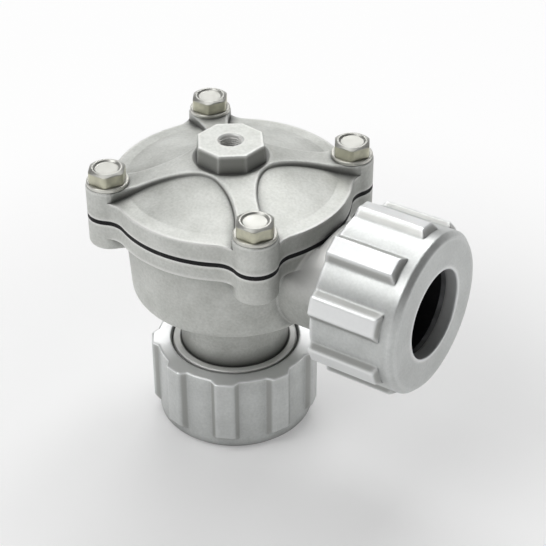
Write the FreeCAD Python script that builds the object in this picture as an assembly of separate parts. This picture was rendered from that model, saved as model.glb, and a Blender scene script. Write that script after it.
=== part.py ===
"""Right-angle pulse valve: cast body and cover, clamped diaphragm, and two compression nuts for plain pipe.

Frame: millimetres, +Z up, origin at the centre of the outlet nut's lower face, +X along the inlet port.
"""
import FreeCAD
import Part
import math
import os

V = FreeCAD.Vector
ORIGIN = V(0, 0, 0)
UP = V(0, 0, 1)

# Pipe and compression joint, the same at both ports
NUT_BORE_R = 17.25
WASHER_BORE_R = 17.4
SEAL_BORE_R = 17.2
SOCKET_R = 17.4
SOCKET_DEPTH = 12.0
NUT_LIP = 5.0
WASHER_THICKNESS = 2.0
SEAL_LENGTH = 9.0
SEAL_NOSE = 3.0
SEAL_NOSE_WALL = 0.6
SEAL_ROUND = 0.6
THREAD_R = 24.95
THREAD_CLEARANCE = 0.1
THREAD_LENGTH = 16.5
WASHER_SIDE_GAP = 0.35
SEAL_SIDE_GAP = 0.45
CONE_GAP = 0.1

# Nut outside
NUT_LENGTH = 34.0
NUT_R = 31.0
NUT_FACE_CHAMFER = 2.0
NUT_MOUTH_CHAMFER = 0.9
NUT_ROUND = 0.5
RIB_COUNT = 9
RIB_FOOT = 11.2
RIB_CREST = 6.6
RIB_HEIGHT = 2.3
RIB_LENGTH = 28.2
RIB_ROUND = 1.6
RIB_FOOT_ROUND = 1.2
RIB_FOOT_RUN = 2.4
RIB_FOOT_DIP = 0.35
RIB_END_SLOPE = 1.6
RIB_END_ROUND = 0.6
INLET_NUT_TURN = 7.7
OUTLET_NUT_TURN = 17.0

# Body casting
PORT_HEIGHT = 79.0
INLET_REACH = 88.0
PASSAGE_R = 15.0
NECK_R = 21.3
NECK_ROOT_R = 2.0
SHOULDER_FLARE = 0.8
FLANGE_LEDGE = 4.3
DRUM_DRAFT = 1.8
DRUM_LOW_HEIGHT = 60.2
DRUM_CORNER_R = 4.0
DRUM_WALL = 3.6
DRUM_FLOOR = 3.0
FLANGE_FILLET_R = 1.5
INLET_FILLET_R = 1.0
SPIGOT_ROUND = 0.6
SEAT_TUBE_WALL = 3.5
SEAT_HEIGHT = 89.0
SEAT_ROUND = 0.8
PARTING_HEIGHT = 97.6
BODY_FLANGE = 6.1
BODY_LOBE_HEIGHT = 11.4
LOBE_FOOT_ROUND = 1.6
LOBE_WEB_REACH = 10.0
INLET_TRIM_GAP = 1.0

# Flange outline, shared by body, diaphragm and cover
FLANGE_R = 45.3
BOLT_OUTSET = 0.87
LOBE_R = 8.3
LOBE_BLEND_R = 9.0

# Cover casting
COVER_LOBE_HEIGHT = 11.6
RIM_EDGE_HEIGHT = 7.6
RIM_CREASE_HEIGHT = 8.3
RIM_WIDTH = 5.6
PANEL_TOP_HEIGHT = 15.6
PANEL_APEX_R = 15.2
HUB_HEIGHT = 17.1
HUB_R = 15.0
ARM_END_INSET = 9.7
ARM_HUB_HALF = 6.2
ARM_HUB_DISTANCE = 19.0
ARM_WAIST_HALF = 4.7
ARM_WAIST_INSET = 15.2
ARM_ROUND_R = 12.0
HUB_ROUND_R = 5.0
COVER_WALL = 3.5
CAST_ROUND = 0.8
COVER_INNER_ROUND = 1.5
BOSS_HEIGHT = 24.1
BOSS_R = 13.2
BOSS_DRAFT = 0.6
BOSS_SIDES = 8
BOSS_TURN = 14.5
BOSS_ROUND = 0.5
PILOT_THREAD_R = 4.3
PILOT_MOUTH_R = 4.9

# Cover bolts and washers
BOLT_R = 4.0
BOLT_LENGTH = 25.0
BOLT_HEAD_FLATS = 13.0
BOLT_HEAD_HEIGHT = 5.3
BOLT_CORNER_ROUND = 1.8
BOLT_CROWN = 1.1
BOLT_CROWN_ROUND = 1.2
BOLT_DISH_R = 5.1
BOLT_DISH_DEPTH = 0.7
BOLT_DISH_ROUND = 0.5
BOLT_TIP_CHAMFER = 0.8
BOLT_HOLE_GAP = 0.4
BOLT_THREAD_GAP = 0.05
BOLT_WASHER_R = 7.9
BOLT_WASHER_THICKNESS = 1.4
BOLT_WASHER_GAP = 0.2
BOLT_WASHER_ROUND = 0.4

# Diaphragm group
DIAPHRAGM_THICKNESS = 1.8
ROLL_INNER_R = 22.0
SEAT_DISC_THICKNESS = 2.2
SEAT_DISC_OVERHANG = 1.5
BACKING_PLATE_GAP = 2.0
BACKING_PLATE_THICKNESS = 1.6
SPRING_PLATE_THICKNESS = 1.6
SPRING_PLATE_INSET = 0.8
SPRING_PLATE_LIP = 1.2
SPRING_PLATE_BEND = 0.9
SCREW_R = 3.0
SCREW_HOLE_GAP = 0.15
SCREW_HEAD_R = 5.4
SCREW_HEAD_HEIGHT = 3.4
SCREW_TIP = 1.0
SCREW_TIP_CHAMFER = 0.6
SCREW_HEAD_ROUND = 1.4
SCREW_KEY_FLATS = 4.0
CENTRE_NUT_FLATS = 10.0
CENTRE_NUT_HEIGHT = 5.0
BLEED_R = 0.8
BLEED_CIRCLE_R = 28.0

# Closing spring
SPRING_WIRE = 1.8
SPRING_R = 11.0
SPRING_PITCH = 5.2
SPRING_POCKET_GAP = 0.6
SPRING_POCKET_HEIGHT = 15.1

# Levels and fits worked out from the sizes above
WASHER_BASE = NUT_LIP
SEAL_BASE = WASHER_BASE + WASHER_THICKNESS
SPIGOT_END = SEAL_BASE + SEAL_LENGTH
SHOULDER = SPIGOT_END + THREAD_LENGTH
NUT_THREAD_R = THREAD_R + THREAD_CLEARANCE
SEAT_TUBE_R = PASSAGE_R + SEAT_TUBE_WALL
DRUM_TOP_R = FLANGE_R - FLANGE_LEDGE
DRUM_LOW_R = DRUM_TOP_R - DRUM_DRAFT
CHAMBER_R = DRUM_TOP_R - DRUM_WALL
CHAMBER_FLOOR = DRUM_LOW_HEIGHT + DRUM_FLOOR
COVER_BASE = PARTING_HEIGHT + DIAPHRAGM_THICKNESS
LOBE_TOP = COVER_BASE + COVER_LOBE_HEIGHT
BOSS_TOP = COVER_BASE + BOSS_HEIGHT
SPRING_TOP = COVER_BASE + SPRING_POCKET_HEIGHT
PAD_BASE = SEAT_HEIGHT + SEAT_DISC_THICKNESS
SPRING_POCKET_R = SPRING_R + SPRING_WIRE / 2 + SPRING_POCKET_GAP
SPRING_PLATE_BASE = PAD_BASE + DIAPHRAGM_THICKNESS
SPRING_BASE = SPRING_PLATE_BASE + SPRING_PLATE_THICKNESS
BACKING_PLATE_BASE = SEAT_HEIGHT - BACKING_PLATE_THICKNESS
BOLT_CIRCLE_R = FLANGE_R + BOLT_OUTSET
BOLT_REACH = BOLT_CIRCLE_R / math.sqrt(2)
RIM_CREASE_R = FLANGE_R - RIM_WIDTH
ARM_END_R = BOLT_CIRCLE_R - ARM_END_INSET
ARM_WAIST_DISTANCE = BOLT_CIRCLE_R - ARM_WAIST_INSET
BOLT_CENTRES = [V(x, y, 0) for x, y in ((BOLT_REACH, BOLT_REACH), (-BOLT_REACH, BOLT_REACH),
                                        (-BOLT_REACH, -BOLT_REACH), (BOLT_REACH, -BOLT_REACH))]
OVERCUT = 5.0


def rounded_wire(corners, place):
    """Closed wire through corners (u, v, radius), with a tangent arc where the radius isn't zero."""
    count = len(corners)
    starts, ends, mids = [], [], []
    for i, (u, v, radius) in enumerate(corners):
        here = V(u, v, 0)
        before = V(corners[i - 1][0], corners[i - 1][1], 0) - here
        after = V(corners[(i + 1) % count][0], corners[(i + 1) % count][1], 0) - here
        if radius == 0:
            starts.append(here)
            ends.append(here)
            mids.append(None)
            continue
        before.normalize()
        after.normalize()
        half = before.getAngle(after) / 2
        back = radius / math.tan(half)
        inward = before + after
        inward.normalize()
        starts.append(here + before * back)
        ends.append(here + after * back)
        mids.append(here + inward * (radius / math.sin(half) - radius))
    edges = []
    for i in range(count):
        if mids[i] is not None:
            edges.append(Part.Arc(place(starts[i]), place(mids[i]), place(ends[i])).toShape())
        following = starts[(i + 1) % count]
        if (following - ends[i]).Length > 1e-6:
            edges.append(Part.makeLine(place(ends[i]), place(following)))
    return Part.Wire(edges)


def turned(corners):
    """Solid of revolution about +Z from corners (radius, height) or (radius, height, corner radius)."""
    full = [corner if len(corner) == 3 else (corner[0], corner[1], 0) for corner in corners]
    wire = rounded_wire(full, lambda p: V(p.x, 0, p.y))
    return Part.Face(wire).revolve(ORIGIN, UP, 360)


def cylinder(radius, low, high, centre=ORIGIN):
    return Part.makeCylinder(radius, high - low, V(centre.x, centre.y, low), UP)


def prism(sides, flats, low, high, turn=0.0):
    """Upright prism with a regular outline of the given width across flats."""
    corner_r = flats / 2 / math.cos(math.pi / sides)
    return tapered_prism(sides, corner_r, corner_r, low, high, turn)


def tapered_prism(sides, low_r, high_r, low, high, turn):
    wires = []
    for radius, height in ((low_r, low), (high_r, high)):
        angles = [math.radians(turn + 360 / sides * k) for k in range(sides)]
        points = [V(radius * math.cos(a), radius * math.sin(a), height) for a in angles]
        wires.append(Part.makePolygon(points + points[:1]))
    return Part.makeLoft(wires, True, True)


def turned_to_inlet(shape):
    """Carry a shape from the outlet port's axis to the inlet port's, its outer face at the inlet's end."""
    moved = shape.copy()
    moved.rotate(ORIGIN, V(0, 1, 0), -90)
    moved.translate(V(INLET_REACH, 0, PORT_HEIGHT))
    return moved


def flange_wire(height):
    """Outline of the round flange with four lobes, each blended into the circle by tangent arcs."""
    reach = FLANGE_R + LOBE_BLEND_R
    side = LOBE_R + LOBE_BLEND_R
    swing = math.acos((reach ** 2 + BOLT_CIRCLE_R ** 2 - side ** 2) / (2 * reach * BOLT_CIRCLE_R))

    def at(radius, angle):
        return V(radius * math.cos(angle), radius * math.sin(angle), height)

    def arc_point(centre, radius, towards):
        direction = towards - centre
        direction.normalize()
        return centre + direction * radius

    edges = []
    for quarter in range(4):
        lobe_angle = math.radians(45 + 90 * quarter)
        lobe = at(BOLT_CIRCLE_R, lobe_angle)
        blend_in = at(reach, lobe_angle - swing)
        blend_out = at(reach, lobe_angle + swing)
        leave = at(FLANGE_R, lobe_angle - swing)
        join = at(FLANGE_R, lobe_angle + swing)
        touch_in = arc_point(lobe, LOBE_R, blend_in)
        touch_out = arc_point(lobe, LOBE_R, blend_out)
        mid_in = arc_point(blend_in, LOBE_BLEND_R, (leave + touch_in) * 0.5)
        mid_out = arc_point(blend_out, LOBE_BLEND_R, (join + touch_out) * 0.5)
        next_leave = at(FLANGE_R, lobe_angle + math.radians(90) - swing)
        edges.append(Part.Arc(leave, mid_in, touch_in).toShape())
        edges.append(Part.Arc(touch_in, at(BOLT_CIRCLE_R + LOBE_R, lobe_angle), touch_out).toShape())
        edges.append(Part.Arc(touch_out, mid_out, join).toShape())
        edges.append(Part.Arc(join, at(FLANGE_R, lobe_angle + math.radians(45)), next_leave).toShape())
    return Part.Wire(edges)


def flange_plate(low, high):
    return Part.Face(flange_wire(low)).extrude(V(0, 0, high - low))


def bolt_holes(radius, low, high):
    return [cylinder(radius, low, high, centre) for centre in BOLT_CENTRES]


def round_edges(shape, radius, wanted):
    return shape.makeFillet(radius, [edge for edge in shape.Edges if wanted(edge)])


def compression_nut(turn):
    """Nut with its lip and outer face at height 0 and its threaded mouth upwards."""
    nut = turned([(NUT_BORE_R, 0), (NUT_R - NUT_FACE_CHAMFER, 0, NUT_ROUND),
                  (NUT_R, NUT_FACE_CHAMFER, NUT_ROUND), (NUT_R, NUT_LENGTH, NUT_ROUND),
                  (NUT_THREAD_R + NUT_MOUTH_CHAMFER, NUT_LENGTH),
                  (NUT_THREAD_R, NUT_LENGTH - NUT_MOUTH_CHAMFER),
                  (NUT_THREAD_R, NUT_LIP), (NUT_BORE_R, NUT_LIP)])
    for k in range(RIB_COUNT):
        rib = grip_rib()
        rib.rotate(ORIGIN, UP, turn + 360 / RIB_COUNT * k)
        nut = nut.fuse(rib)
    return nut.removeSplitter()


def grip_rib():
    """One bar on the nut's flank, with a rounded crest, flaring sides and rounded ends."""
    low = NUT_LENGTH - RIB_LENGTH
    top = NUT_R + RIB_HEIGHT
    root = NUT_THREAD_R + (NUT_R - NUT_THREAD_R) / 2
    foot_half = RIB_FOOT / 2
    foot_r = math.sqrt(NUT_R ** 2 - foot_half ** 2)
    run_angle = math.asin(foot_half / NUT_R) + RIB_FOOT_RUN / NUT_R
    run_r = (NUT_R - RIB_FOOT_DIP) * math.cos(run_angle)
    run_half = (NUT_R - RIB_FOOT_DIP) * math.sin(run_angle)
    half = [(top, RIB_CREST / 2, RIB_ROUND), (foot_r, foot_half, RIB_FOOT_ROUND), (run_r, run_half, 0),
            (root, run_half, 0)]
    section = half + [(r, -side, rounding) for r, side, rounding in reversed(half)]
    bar = Part.Face(rounded_wire(section, lambda p: V(p.x, p.y, low))).extrude(V(0, 0, NUT_LENGTH - low))
    outside = NUT_R + RIB_HEIGHT * 2
    wedge = [V(NUT_R, -RIB_FOOT, low), V(outside, -RIB_FOOT, low + RIB_END_SLOPE * 2),
             V(outside, -RIB_FOOT, low)]
    bar = bar.cut(Part.Face(Part.makePolygon(wedge + wedge[:1])).extrude(V(0, RIB_FOOT * 2, 0)))

    def ends_bar(edge):
        return min(v.X for v in edge.Vertexes) > root + 0.01 and edge.BoundBox.ZLength < RIB_END_SLOPE + 0.01

    return round_edges(bar, RIB_END_ROUND, ends_bar)


def slip_washer():
    outer = NUT_THREAD_R - WASHER_SIDE_GAP
    return cylinder(outer, WASHER_BASE, SEAL_BASE).cut(cylinder(WASHER_BORE_R, WASHER_BASE, SEAL_BASE))


def pipe_seal():
    """Rubber ring with a tapered nose that enters the mouth of the pipe socket."""
    outer = NUT_THREAD_R - SEAL_SIDE_GAP
    root_r = SOCKET_R + SEAL_NOSE - CONE_GAP
    tip_r = SEAL_BORE_R + SEAL_NOSE_WALL
    tip = SPIGOT_END + root_r - tip_r
    return turned([(SEAL_BORE_R, SEAL_BASE), (outer, SEAL_BASE, SEAL_ROUND), (outer, SPIGOT_END, SEAL_ROUND),
                   (root_r, SPIGOT_END), (tip_r, tip), (SEAL_BORE_R, tip)])


def port(neck_end):
    """Outside of a spigot and its neck, along +Z from the pipe's side."""
    return turned([(0, SPIGOT_END), (THREAD_R, SPIGOT_END, SPIGOT_ROUND), (THREAD_R, SHOULDER, SPIGOT_ROUND),
                   (NECK_R + SHOULDER_FLARE, SHOULDER), (NECK_R, SHOULDER + SHOULDER_FLARE),
                   (NECK_R, neck_end), (0, neck_end)])


def port_bore(end):
    """Tapered mouth for the seal, socket for the pipe, and the passage on to the chamber."""
    socket_end = SPIGOT_END + SOCKET_DEPTH
    mouth_r = SOCKET_R + SEAL_NOSE
    return turned([(0, SPIGOT_END - OVERCUT), (mouth_r, SPIGOT_END - OVERCUT), (mouth_r, SPIGOT_END),
                   (SOCKET_R, SPIGOT_END + SEAL_NOSE), (SOCKET_R, socket_end), (PASSAGE_R, socket_end),
                   (PASSAGE_R, end), (0, end)])


def drum(flange_low):
    """Outside of the chamber: a drum with draft, a rounded lower edge and fillets to neck and flange."""
    root = DRUM_LOW_HEIGHT - NECK_ROOT_R - 1
    lip = FLANGE_R - 1
    return turned([(0, root), (NECK_R, root), (NECK_R, DRUM_LOW_HEIGHT, NECK_ROOT_R),
                   (DRUM_LOW_R, DRUM_LOW_HEIGHT, DRUM_CORNER_R), (DRUM_TOP_R, flange_low, FLANGE_FILLET_R),
                   (lip, flange_low), (lip, PARTING_HEIGHT), (0, PARTING_HEIGHT)])


def chamber():
    """Annular space between the drum's wall and the seat tube, open at the parting face."""
    corner = DRUM_CORNER_R - 1
    space = turned([(0, CHAMBER_FLOOR), (DRUM_LOW_R - DRUM_WALL, CHAMBER_FLOOR, corner),
                    (CHAMBER_R, PARTING_HEIGHT), (CHAMBER_R, PARTING_HEIGHT + OVERCUT),
                    (0, PARTING_HEIGHT + OVERCUT)])
    tube = turned([(0, CHAMBER_FLOOR - OVERCUT), (SEAT_TUBE_R, CHAMBER_FLOOR - OVERCUT),
                   (SEAT_TUBE_R, SEAT_HEIGHT, SEAT_ROUND), (0, SEAT_HEIGHT)])
    return space.cut(tube)


def inlet_outside():
    """Side spigot and neck, running into the outlet neck's wall and trimmed level with the parting face."""
    reach = port(INLET_REACH - (PASSAGE_R + SEAT_TUBE_R) / 2)
    trim = cylinder(FLANGE_R + INLET_TRIM_GAP, PARTING_HEIGHT, PARTING_HEIGHT + NECK_R)
    return turned_to_inlet(reach).cut(trim)


def body_casting():
    flange_low = PARTING_HEIGHT - BODY_FLANGE
    lobe_low = PARTING_HEIGHT - BODY_LOBE_HEIGHT
    shell = drum(flange_low).fuse(inlet_outside()).removeSplitter()
    shell = round_edges(shell, INLET_FILLET_R, joins_drum_to_inlet)
    shell = shell.fuse(port(DRUM_LOW_HEIGHT))
    shell = shell.fuse(flange_plate(flange_low, PARTING_HEIGHT))
    for centre in BOLT_CENTRES:
        shell = shell.fuse(body_lobe(centre, lobe_low, flange_low + 1))
    inlet_bore = turned_to_inlet(port_bore(INLET_REACH - SEAT_TUBE_R - OVERCUT))
    shell = shell.cut([chamber(), port_bore(SEAT_HEIGHT + OVERCUT), inlet_bore])
    shell = shell.cut(bolt_holes(BOLT_R + BOLT_THREAD_GAP, lobe_low - OVERCUT, PARTING_HEIGHT + OVERCUT))
    return shell.removeSplitter()


def joins_drum_to_inlet(edge):
    """True for the edges where the side neck's cylinder meets the drum's flank."""
    box = edge.BoundBox
    middle = edge.valueAt((edge.FirstParameter + edge.LastParameter) / 2)
    from_inlet_axis = math.hypot(middle.y, middle.z - PORT_HEIGHT)
    from_drum_axis = math.hypot(middle.x, middle.y)
    on_neck = abs(from_inlet_axis - NECK_R) < 0.05
    on_flank = DRUM_LOW_R - DRUM_CORNER_R < from_drum_axis < DRUM_TOP_R + FLANGE_FILLET_R
    return on_neck and on_flank and box.XMin > 0 and box.ZMax < PARTING_HEIGHT - 1


def body_lobe(centre, low, high):
    """Pillar under the flange for one bolt, joined to the bowl by a web of its own width."""
    web_start = V(BOLT_CIRCLE_R - LOBE_WEB_REACH, -LOBE_R, low)
    web = Part.makeBox(LOBE_WEB_REACH, LOBE_R * 2, high - low, web_start)
    web.rotate(ORIGIN, UP, math.degrees(math.atan2(centre.y, centre.x)))
    pillar = cylinder(LOBE_R, low, high, centre).fuse(web).removeSplitter()
    return round_edges(pillar, LOBE_FOOT_ROUND, lambda edge: max(v.Z for v in edge.Vertexes) < low + 0.01)


def arm_point(distance, half_width):
    """Point beside the arm that runs along the diagonal, on the side of the +X panel."""
    return V((distance + half_width) / math.sqrt(2), (distance - half_width) / math.sqrt(2), 0)


def panel_wire(height):
    """Outline of the recessed fan panel about +X, open towards the flange's edge."""
    side = [arm_point(ARM_HUB_DISTANCE, ARM_HUB_HALF), arm_point(ARM_WAIST_DISTANCE, ARM_WAIST_HALF),
            arm_point(BOLT_CIRCLE_R, LOBE_R)]
    outside = arm_point(BOLT_CIRCLE_R + LOBE_R * 2, LOBE_R)
    right = [V(point.x, -point.y, height) for point in side + [outside]]
    left = [V(point.x, point.y, height) for point in side + [outside]]
    border = Part.BSplineCurve()
    border.interpolate(Points=right[2::-1] + [V(PANEL_APEX_R, 0, height)] + left[:3])
    ends = [left[2], left[3], right[3], right[2]]
    lines = [Part.makeLine(start, end) for start, end in zip(ends, ends[1:])]
    return Part.Wire([border.toShape()] + lines)


def cover_casting():
    crown = COVER_BASE + HUB_HEIGHT
    far = BOLT_CIRCLE_R + LOBE_R + OVERCUT
    arms = turned([(0, COVER_BASE), (far, COVER_BASE), (far, LOBE_TOP), (ARM_END_R, LOBE_TOP, ARM_ROUND_R),
                   (HUB_R, crown, HUB_ROUND_R), (0, crown)])
    panels = turned([(0, COVER_BASE), (far, COVER_BASE), (far, COVER_BASE + RIM_EDGE_HEIGHT),
                     (FLANGE_R, COVER_BASE + RIM_EDGE_HEIGHT), (RIM_CREASE_R, COVER_BASE + RIM_CREASE_HEIGHT),
                     (PANEL_APEX_R, COVER_BASE + PANEL_TOP_HEIGHT), (0, COVER_BASE + PANEL_TOP_HEIGHT)])
    cover = flange_plate(COVER_BASE, crown).common(arms)
    recess = Part.Face(panel_wire(COVER_BASE)).extrude(V(0, 0, HUB_HEIGHT + OVERCUT)).cut(panels)
    for quarter in range(4):
        pocket = recess.copy()
        pocket.rotate(ORIGIN, UP, 90 * quarter)
        cover = cover.cut(pocket)
    cover = cover.removeSplitter()
    cover = round_edges(cover, CAST_ROUND, lambda edge: tops_an_arm(cover, edge))
    boss = tapered_prism(BOSS_SIDES, BOSS_R + BOSS_DRAFT, BOSS_R, crown - CAST_ROUND, BOSS_TOP, BOSS_TURN)
    boss = round_edges(boss, BOSS_ROUND, lambda edge: min(v.Z for v in edge.Vertexes) > BOSS_TOP - 0.01)
    cover = cover.fuse(boss)
    cover = cover.cut([control_space(), cylinder(SPRING_POCKET_R, COVER_BASE, SPRING_TOP), pilot_hole()])
    cover = cover.cut(bolt_holes(BOLT_R + BOLT_HOLE_GAP, COVER_BASE - OVERCUT, LOBE_TOP + OVERCUT))
    return cover.removeSplitter()


def tops_an_arm(cover, edge):
    """True where an upright flank of the cover meets the arms and lobes above it."""
    middle = edge.valueAt((edge.FirstParameter + edge.LastParameter) / 2)
    if min(vertex.Z for vertex in edge.Vertexes) < LOBE_TOP - 0.01:
        return False
    flanks = [face for face in cover.ancestorsOfType(edge, Part.Face)
              if abs(face.normalAt(*face.Surface.parameter(middle)).z) < 0.01]
    return len(flanks) == 1 and flanks[0].CenterOfMass.z < middle.z - 0.1


def control_space():
    """Space above the diaphragm, one wall's thickness inside the cover's panels."""
    return turned([(0, COVER_BASE - OVERCUT), (CHAMBER_R, COVER_BASE - OVERCUT),
                   (CHAMBER_R, COVER_BASE + RIM_EDGE_HEIGHT - COVER_WALL, COVER_INNER_ROUND),
                   (PANEL_APEX_R, COVER_BASE + PANEL_TOP_HEIGHT - COVER_WALL),
                   (0, COVER_BASE + PANEL_TOP_HEIGHT - COVER_WALL)])


def pilot_hole():
    sink = PILOT_MOUTH_R - PILOT_THREAD_R
    return turned([(0, SPRING_TOP - OVERCUT), (PILOT_THREAD_R, SPRING_TOP - OVERCUT),
                   (PILOT_THREAD_R, BOSS_TOP - sink), (PILOT_MOUTH_R, BOSS_TOP),
                   (PILOT_MOUTH_R, BOSS_TOP + OVERCUT), (0, BOSS_TOP + OVERCUT)])


def cover_bolt(centre):
    """Hexagon bolt through cover and body lobe, with rounded corners, a crowned rim and a dished head."""
    seat = LOBE_TOP + BOLT_WASHER_THICKNESS
    top = seat + BOLT_HEAD_HEIGHT
    head = prism(6, BOLT_HEAD_FLATS, seat, top)
    head = round_edges(head, BOLT_CORNER_ROUND, lambda edge: edge.BoundBox.ZLength > BOLT_HEAD_HEIGHT / 2)
    corner_r = BOLT_HEAD_FLATS / 2 / math.cos(math.radians(30))
    head = head.common(turned([(0, seat), (corner_r, seat), (corner_r, top - BOLT_CROWN, BOLT_CROWN_ROUND),
                               (BOLT_DISH_R + BOLT_CROWN / 2, top), (0, top)]))
    floor = top - BOLT_DISH_DEPTH
    dish = turned([(0, floor), (BOLT_DISH_R - BOLT_DISH_DEPTH, floor, BOLT_DISH_ROUND),
                   (BOLT_DISH_R, top), (BOLT_DISH_R, top + OVERCUT), (0, top + OVERCUT)])
    tip = seat - BOLT_LENGTH
    shank = turned([(0, tip), (BOLT_R - BOLT_TIP_CHAMFER, tip), (BOLT_R, tip + BOLT_TIP_CHAMFER),
                    (BOLT_R, seat), (0, seat)])
    bolt = head.cut(dish).fuse(shank).removeSplitter()
    bolt.translate(centre)
    return bolt


def bolt_washer(centre):
    low = LOBE_TOP
    high = LOBE_TOP + BOLT_WASHER_THICKNESS
    hole_r = BOLT_R + BOLT_WASHER_GAP
    ring = turned([(hole_r, low), (BOLT_WASHER_R, low), (BOLT_WASHER_R, high, BOLT_WASHER_ROUND),
                   (hole_r, high)])
    ring.translate(centre)
    return ring


def roll_profile(low_z, high_z):
    """Section of the moulded diaphragm: clamped rim, S-shaped roll and flat centre."""
    run = (CHAMBER_R - ROLL_INNER_R) / 2
    drop = (high_z - low_z) / 2
    bend = (run ** 2 + drop ** 2) / (2 * drop)
    outer = V(CHAMBER_R, 0, high_z - bend)
    inner = V(ROLL_INNER_R, 0, low_z + bend)
    swing = math.asin(run / bend)
    half = DIAPHRAGM_THICKNESS / 2

    def around(centre, radius, angle):
        return centre + V(math.sin(angle) * radius, 0, math.cos(angle) * radius)

    edges = []
    top = [around(outer, bend + half, a) for a in (0, -swing / 2, -swing)]
    top += [around(inner, bend - half, math.pi - a) for a in (swing, swing / 2, 0)]
    low = [around(outer, bend - half, a) for a in (0, -swing / 2, -swing)]
    low += [around(inner, bend + half, math.pi - a) for a in (swing, swing / 2, 0)]
    for line in (top, low):
        edges.append(Part.Arc(*line[:3]).toShape())
        edges.append(Part.Arc(*line[3:]).toShape())
    rim = FLANGE_R + LOBE_R * 2
    hole = SCREW_R + SCREW_HOLE_GAP
    loop = [top[0], V(rim, 0, top[0].z), V(rim, 0, low[0].z), low[0]]
    edges += [Part.makeLine(a, b) for a, b in zip(loop, loop[1:])]
    loop = [top[-1], V(hole, 0, top[-1].z), V(hole, 0, low[-1].z), low[-1]]
    edges += [Part.makeLine(a, b) for a, b in zip(loop, loop[1:])]
    return Part.Wire(Part.__sortEdges__(edges))


def diaphragm():
    half = DIAPHRAGM_THICKNESS / 2
    section = roll_profile(PAD_BASE + half, PARTING_HEIGHT + half)
    sheet = Part.Face(section).revolve(ORIGIN, UP, 360)
    below = min(PAD_BASE, PARTING_HEIGHT) - OVERCUT
    above = max(SPRING_PLATE_BASE, COVER_BASE) + OVERCUT
    sheet = sheet.common(flange_plate(below, above))
    holes = bolt_holes(BOLT_R + BOLT_HOLE_GAP, below, above)
    bleed = cylinder(BLEED_R, below, above, V(0, BLEED_CIRCLE_R, 0))
    return sheet.cut(holes + [bleed]).removeSplitter()


def washer(inner_r, outer_r, low, high):
    return cylinder(outer_r, low, high).cut(cylinder(inner_r, low, high))


def spring_plate():
    outer = ROLL_INNER_R - SPRING_PLATE_INSET
    hole = SCREW_R + SCREW_HOLE_GAP
    lip = SPRING_BASE + SPRING_PLATE_LIP
    return turned([(hole, SPRING_PLATE_BASE), (outer, SPRING_PLATE_BASE, SPRING_PLATE_BEND), (outer, lip),
                   (outer - SPRING_PLATE_THICKNESS, lip), (outer - SPRING_PLATE_THICKNESS, SPRING_BASE),
                   (hole, SPRING_BASE)])


def diaphragm_screw():
    head_low = BACKING_PLATE_BASE - SCREW_HEAD_HEIGHT
    tip = SPRING_BASE + CENTRE_NUT_HEIGHT + SCREW_TIP
    screw = turned([(0, head_low), (SCREW_HEAD_R, head_low, SCREW_HEAD_ROUND),
                    (SCREW_HEAD_R, BACKING_PLATE_BASE), (SCREW_R, BACKING_PLATE_BASE),
                    (SCREW_R, tip - SCREW_TIP_CHAMFER), (SCREW_R - SCREW_TIP_CHAMFER, tip), (0, tip)])
    return screw.cut(prism(6, SCREW_KEY_FLATS, head_low - OVERCUT, head_low + SCREW_HEAD_HEIGHT / 2))


def diaphragm_nut():
    top = SPRING_BASE + CENTRE_NUT_HEIGHT
    corner_r = CENTRE_NUT_FLATS / 2 / math.cos(math.radians(30))
    bevel = corner_r - CENTRE_NUT_FLATS / 2
    hexagon = prism(6, CENTRE_NUT_FLATS, SPRING_BASE, top)
    rounded = turned([(0, SPRING_BASE), (corner_r, SPRING_BASE), (corner_r, top - bevel / 2),
                      (corner_r - bevel, top), (0, top)])
    hole = cylinder(SCREW_R + BOLT_THREAD_GAP, SPRING_BASE - OVERCUT, top + OVERCUT)
    return hexagon.common(rounded).cut(hole)


def closing_spring():
    """Round wire wound from the spring plate up to the end of the cover's pocket."""
    wire_r = SPRING_WIRE / 2
    low = SPRING_BASE + wire_r
    helix = Part.makeLongHelix(SPRING_PITCH, SPRING_TOP - wire_r - low, SPRING_R, 0, False)
    helix.translate(V(0, 0, low))
    section = Part.Wire(Part.makeCircle(wire_r, V(SPRING_R, 0, low), V(0, 1, 0)))
    return Part.Wire(helix.Edges).makePipeShell([section], True, True)


SCREW_HOLE = SCREW_R + SCREW_HOLE_GAP
NODES = {
    "body_casting": body_casting(),
    "cover_casting": cover_casting(),
    "diaphragm": diaphragm(),
    "seat_disc": washer(SCREW_HOLE, SEAT_TUBE_R + SEAT_DISC_OVERHANG, SEAT_HEIGHT, PAD_BASE),
    "backing_plate": washer(SCREW_HOLE, PASSAGE_R - BACKING_PLATE_GAP, BACKING_PLATE_BASE, SEAT_HEIGHT),
    "spring_plate": spring_plate(),
    "diaphragm_screw": diaphragm_screw(),
    "diaphragm_nut": diaphragm_nut(),
    "closing_spring": closing_spring(),
    "outlet_nut": compression_nut(OUTLET_NUT_TURN),
    "outlet_slip_washer": slip_washer(),
    "outlet_seal": pipe_seal(),
    "inlet_nut": turned_to_inlet(compression_nut(INLET_NUT_TURN)),
    "inlet_slip_washer": turned_to_inlet(slip_washer()),
    "inlet_seal": turned_to_inlet(pipe_seal()),
}
for number, centre in enumerate(BOLT_CENTRES, 1):
    NODES["cover_bolt_" + str(number)] = cover_bolt(centre)
    NODES["bolt_washer_" + str(number)] = bolt_washer(centre)

os.makedirs("parts", exist_ok=True)
for name, shape in NODES.items():
    solid = shape.Solids[0]
    print(name, len(shape.Solids), solid.isValid(), round(solid.Volume), "mm3")
    solid.exportStep("parts/" + name + ".step")
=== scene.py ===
import bpy
import math
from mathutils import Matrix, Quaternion, Vector


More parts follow.
